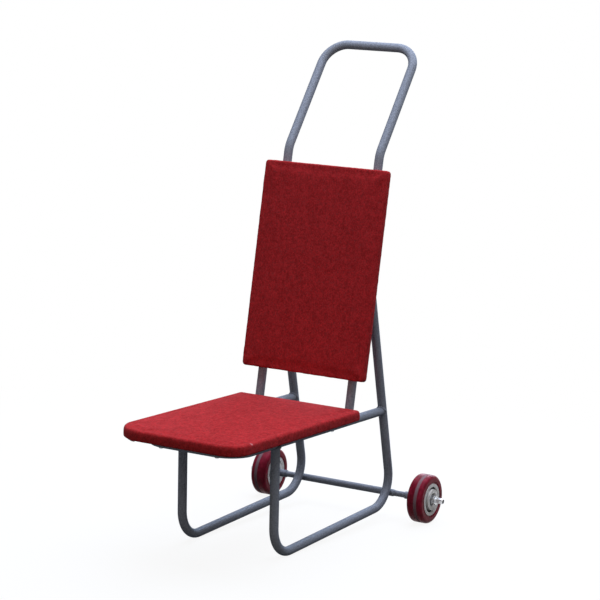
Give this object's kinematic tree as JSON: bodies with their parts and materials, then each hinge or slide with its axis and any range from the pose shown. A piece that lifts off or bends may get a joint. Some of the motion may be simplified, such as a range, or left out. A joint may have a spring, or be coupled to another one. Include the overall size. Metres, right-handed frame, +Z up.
{
  "type": "stacking chair trolley",
  "caption": "Stacking chair trolley: welded bent-tube frame with a padded platform and backrest, a raked push handle and rear ball-bearing wheels on a cross axle.",
  "frame": {"origin": "on the floor, under the middle of the overall box", "axes": "+Z up, -Y to the front where the platform is, +X across to the trolley's right as seen from behind the handle"},
  "size_m": [0.57, 0.877, 1.2],
  "materials": {
    "frame_paint": "silver-blue powder coat, satin",
    "cover_cloth": "red felted cover cloth",
    "lining_cloth": "thin black lining cloth",
    "plywood": "raw plywood board",
    "foam": "pale upholstery foam",
    "zinc_steel": "bright zinc plate",
    "bearing_steel": "ground bearing steel",
    "tyre": "maroon moulded tyre",
    "hub_plastic": "light grey moulded hub",
    "seal_rubber": "black bearing seal"
  },
  "bodies": {
    "frame": {"handle_tube": "frame_paint", "left_side_loop": "frame_paint", "right_side_loop": "frame_paint", "seat_frame_tube": "frame_paint", "upright_welds": "frame_paint", "strut_welds": "frame_paint", "leg_welds": "frame_paint", "rail_welds": "frame_paint", "axle_cross_tube": "frame_paint", "axle_collars": "frame_paint", "axle_welds": "frame_paint", "axle_rod": "zinc_steel", "seat_board": "plywood", "seat_foam": "foam", "seat_cover": "cover_cloth", "seat_lining": "lining_cloth", "seat_bolts": "zinc_steel", "seat_tee_nuts": "zinc_steel", "back_board": "plywood", "back_foam": "foam", "back_cover": "cover_cloth", "back_lining": "lining_cloth", "back_bolts": "zinc_steel", "back_tee_nuts": "zinc_steel", "left_inner_races": "bearing_steel", "left_bearing_spacer": "zinc_steel", "left_axle_washer": "zinc_steel", "left_axle_nut": "zinc_steel", "right_inner_races": "bearing_steel", "right_bearing_spacer": "zinc_steel", "right_axle_washer": "zinc_steel", "right_axle_nut": "zinc_steel"},
    "left_wheel": {"left_tyre": "tyre", "left_hub": "hub_plastic", "left_outer_races": "bearing_steel", "left_seals": "seal_rubber"},
    "left_ball_set": {"left_balls": "bearing_steel", "left_cages": "bearing_steel"},
    "right_wheel": {"right_tyre": "tyre", "right_hub": "hub_plastic", "right_outer_races": "bearing_steel", "right_seals": "seal_rubber"},
    "right_ball_set": {"right_balls": "bearing_steel", "right_cages": "bearing_steel"}
  },
  "joints": [
    {"name": "left_wheel_spin", "type": "hinge", "parent": "frame", "child": "left_wheel", "pos_m": [-0.2315, 0.37646, 0.062], "axis": [1, 0, 0], "continuous": true},
    {"name": "left_ball_spin", "type": "hinge", "parent": "frame", "child": "left_ball_set", "pos_m": [-0.2315, 0.37646, 0.062], "axis": [1, 0, 0], "continuous": true},
    {"name": "right_wheel_spin", "type": "hinge", "parent": "frame", "child": "right_wheel", "pos_m": [0.2315, 0.37646, 0.062], "axis": [1, 0, 0], "continuous": true},
    {"name": "right_ball_spin", "type": "hinge", "parent": "frame", "child": "right_ball_set", "pos_m": [0.2315, 0.37646, 0.062], "axis": [1, 0, 0], "continuous": true}
  ],
  "couplings": [
    {"joint": "left_ball_spin", "follows": "left_wheel_spin", "ratio": 0.62},
    {"joint": "right_ball_spin", "follows": "right_wheel_spin", "ratio": 0.62}
  ]
}
